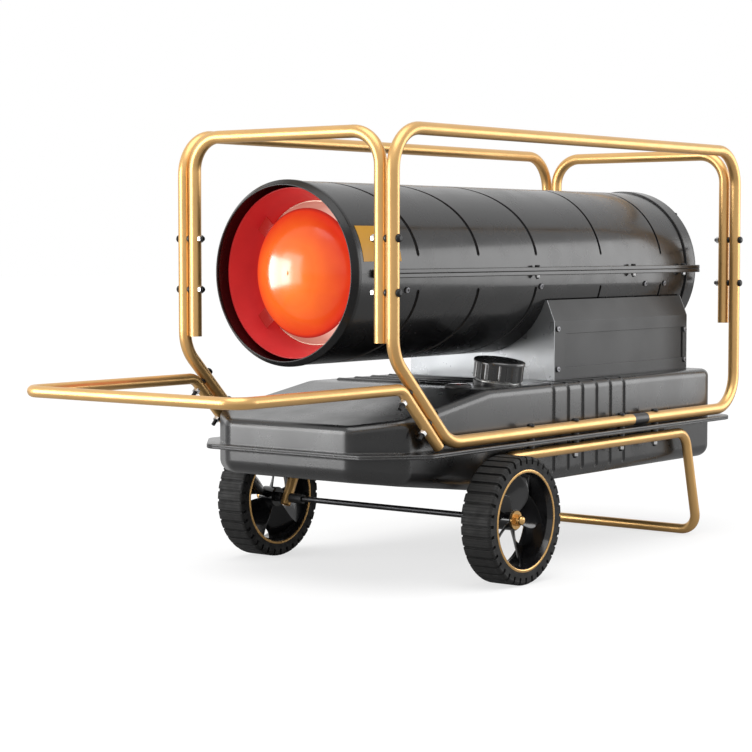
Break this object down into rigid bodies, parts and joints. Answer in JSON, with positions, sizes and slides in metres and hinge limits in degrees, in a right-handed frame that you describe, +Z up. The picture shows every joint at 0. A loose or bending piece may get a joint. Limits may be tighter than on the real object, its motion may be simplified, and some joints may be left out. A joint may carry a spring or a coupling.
{
  "type": "forced air heater",
  "caption": "Portable forced air heater: a ribbed horizontal burner barrel with a fan above a fuel tank, in a wheeled tube trolley frame with a pull handle.",
  "frame": {"origin": "on the floor, centred below the overall box", "axes": "+Z up, -Y where the hot air leaves and the pull handle stands, +X the side of the fuel cap"},
  "size_m": [0.7066, 1.768, 0.8975],
  "materials": {
    "frame_paint": "satin gold",
    "sleeve_plastic": "matt black",
    "black_bolts": "black",
    "zinc_nuts": "bright zinc",
    "steel_screws": "plated",
    "tyre_rubber": "dull",
    "rim_black": "gloss black",
    "gold_trim": "satin gold",
    "axle_steel": "oiled",
    "collar_black": "matt black",
    "tank_paint": "gloss black",
    "neck_zinc": "zinc",
    "seal_rubber": "dull",
    "cap_plastic": "matt black",
    "gauge_plastic": "black",
    "plug_brass": "plain",
    "barrel_paint": "gloss black",
    "label_film": "plain yellow",
    "guard_paint": "black",
    "cone_paint": "red",
    "hot_dome": "glowing orange",
    "chamber_steel": "heat tinted",
    "copper_line": "copper",
    "fan_aluminium": "plain",
    "motor_aluminium": "grey",
    "bracket_zinc": "zinc",
    "channel_paint": "grey",
    "cover_paint": "satin dark grey",
    "control_plastic": "black",
    "rocker_red": "red",
    "lamp_lens": "amber",
    "transformer_case": "dark"
  },
  "bodies": {
    "heater": {"air_pump": "motor_aluminium", "axle": "axle_steel", "axle_collars": "collar_black", "axle_stand": "frame_paint", "barrel_bolts": "black_bolts", "barrel_lower_shell": "barrel_paint", "barrel_nuts": "zinc_nuts", "barrel_rim": "barrel_paint", "barrel_upper_shell": "barrel_paint", "base_channel": "channel_paint", "blank_label": "label_film", "burner_head": "chamber_steel", "chamber_back_plate": "chamber_steel", "chamber_supports": "chamber_steel", "combustion_chamber": "chamber_steel", "cross_screws": "steel_screws", "dome_nuts": "gold_trim", "drain_plug": "plug_brass", "fan_motor": "motor_aluminium", "filler_neck": "neck_zinc", "filler_strainer": "neck_zinc", "flame_dome": "hot_dome", "frame_bolts": "black_bolts", "frame_nuts": "zinc_nuts", "frame_spacers": "sleeve_plastic", "front_cross_hoop": "frame_paint", "fuel_gauge": "gauge_plastic", "fuel_line": "copper_line", "hoop_sleeves": "sleeve_plastic", "hub_washers": "gold_trim", "ignition_transformer": "transformer_case", "indicator_lamp": "lamp_lens", "left_cover": "cover_paint", "motor_bracket": "bracket_zinc", "nozzle_assembly": "chamber_steel", "outlet_cone": "cone_paint", "power_inlet": "control_plastic", "pull_handle": "frame_paint", "rear_cross_hoop": "frame_paint", "rear_guard": "guard_paint", "right_cover": "cover_paint", "side_hoop_left": "frame_paint", "side_hoop_right": "frame_paint", "switch_housing": "control_plastic", "tank_flange_screws": "black_bolts", "tank_lower_shell": "tank_paint", "tank_upper_shell": "tank_paint", "thermostat_body": "control_plastic"},
    "wheel_right": {"tyre_right": "tyre_rubber", "rim_right": "rim_black", "rim_trims_right": "gold_trim"},
    "wheel_left": {"tyre_left": "tyre_rubber", "rim_left": "rim_black", "rim_trims_left": "gold_trim"},
    "fan": {"fan": "fan_aluminium"},
    "fuel_cap": {"fuel_cap": "cap_plastic", "cap_gasket": "seal_rubber"},
    "thermostat_knob": {"thermostat_knob": "control_plastic"},
    "switch_rocker": {"switch_rocker": "rocker_red"}
  },
  "joints": [
    {"name": "wheel_right_spin", "type": "hinge", "parent": "heater", "child": "wheel_right", "pos_m": [0.3175, -0.13, 0.127], "axis": [1, 0, 0], "continuous": true},
    {"name": "wheel_left_spin", "type": "hinge", "parent": "heater", "child": "wheel_left", "pos_m": [-0.3175, -0.13, 0.127], "axis": [1, 0, 0], "continuous": true},
    {"name": "fan_spin", "type": "hinge", "parent": "heater", "child": "fan", "pos_m": [0, 0.6235, 0.612], "axis": [0, 1, 0], "continuous": true},
    {"name": "fuel_cap_lift", "type": "slide", "parent": "heater", "child": "fuel_cap", "axis": [0.1392, 0, 0.9903], "range_m": [0, 0.036]},
    {"name": "thermostat_turn", "type": "hinge", "parent": "heater", "child": "thermostat_knob", "pos_m": [-0.1885, 0.3435, 0.441], "axis": [-1, 0, 0], "range_deg": [0, 270]},
    {"name": "switch_rock", "type": "hinge", "parent": "heater", "child": "switch_rocker", "pos_m": [-0.185, 0.4235, 0.441], "axis": [0, 1, 0], "range_deg": [-8, 8]}
  ]
}
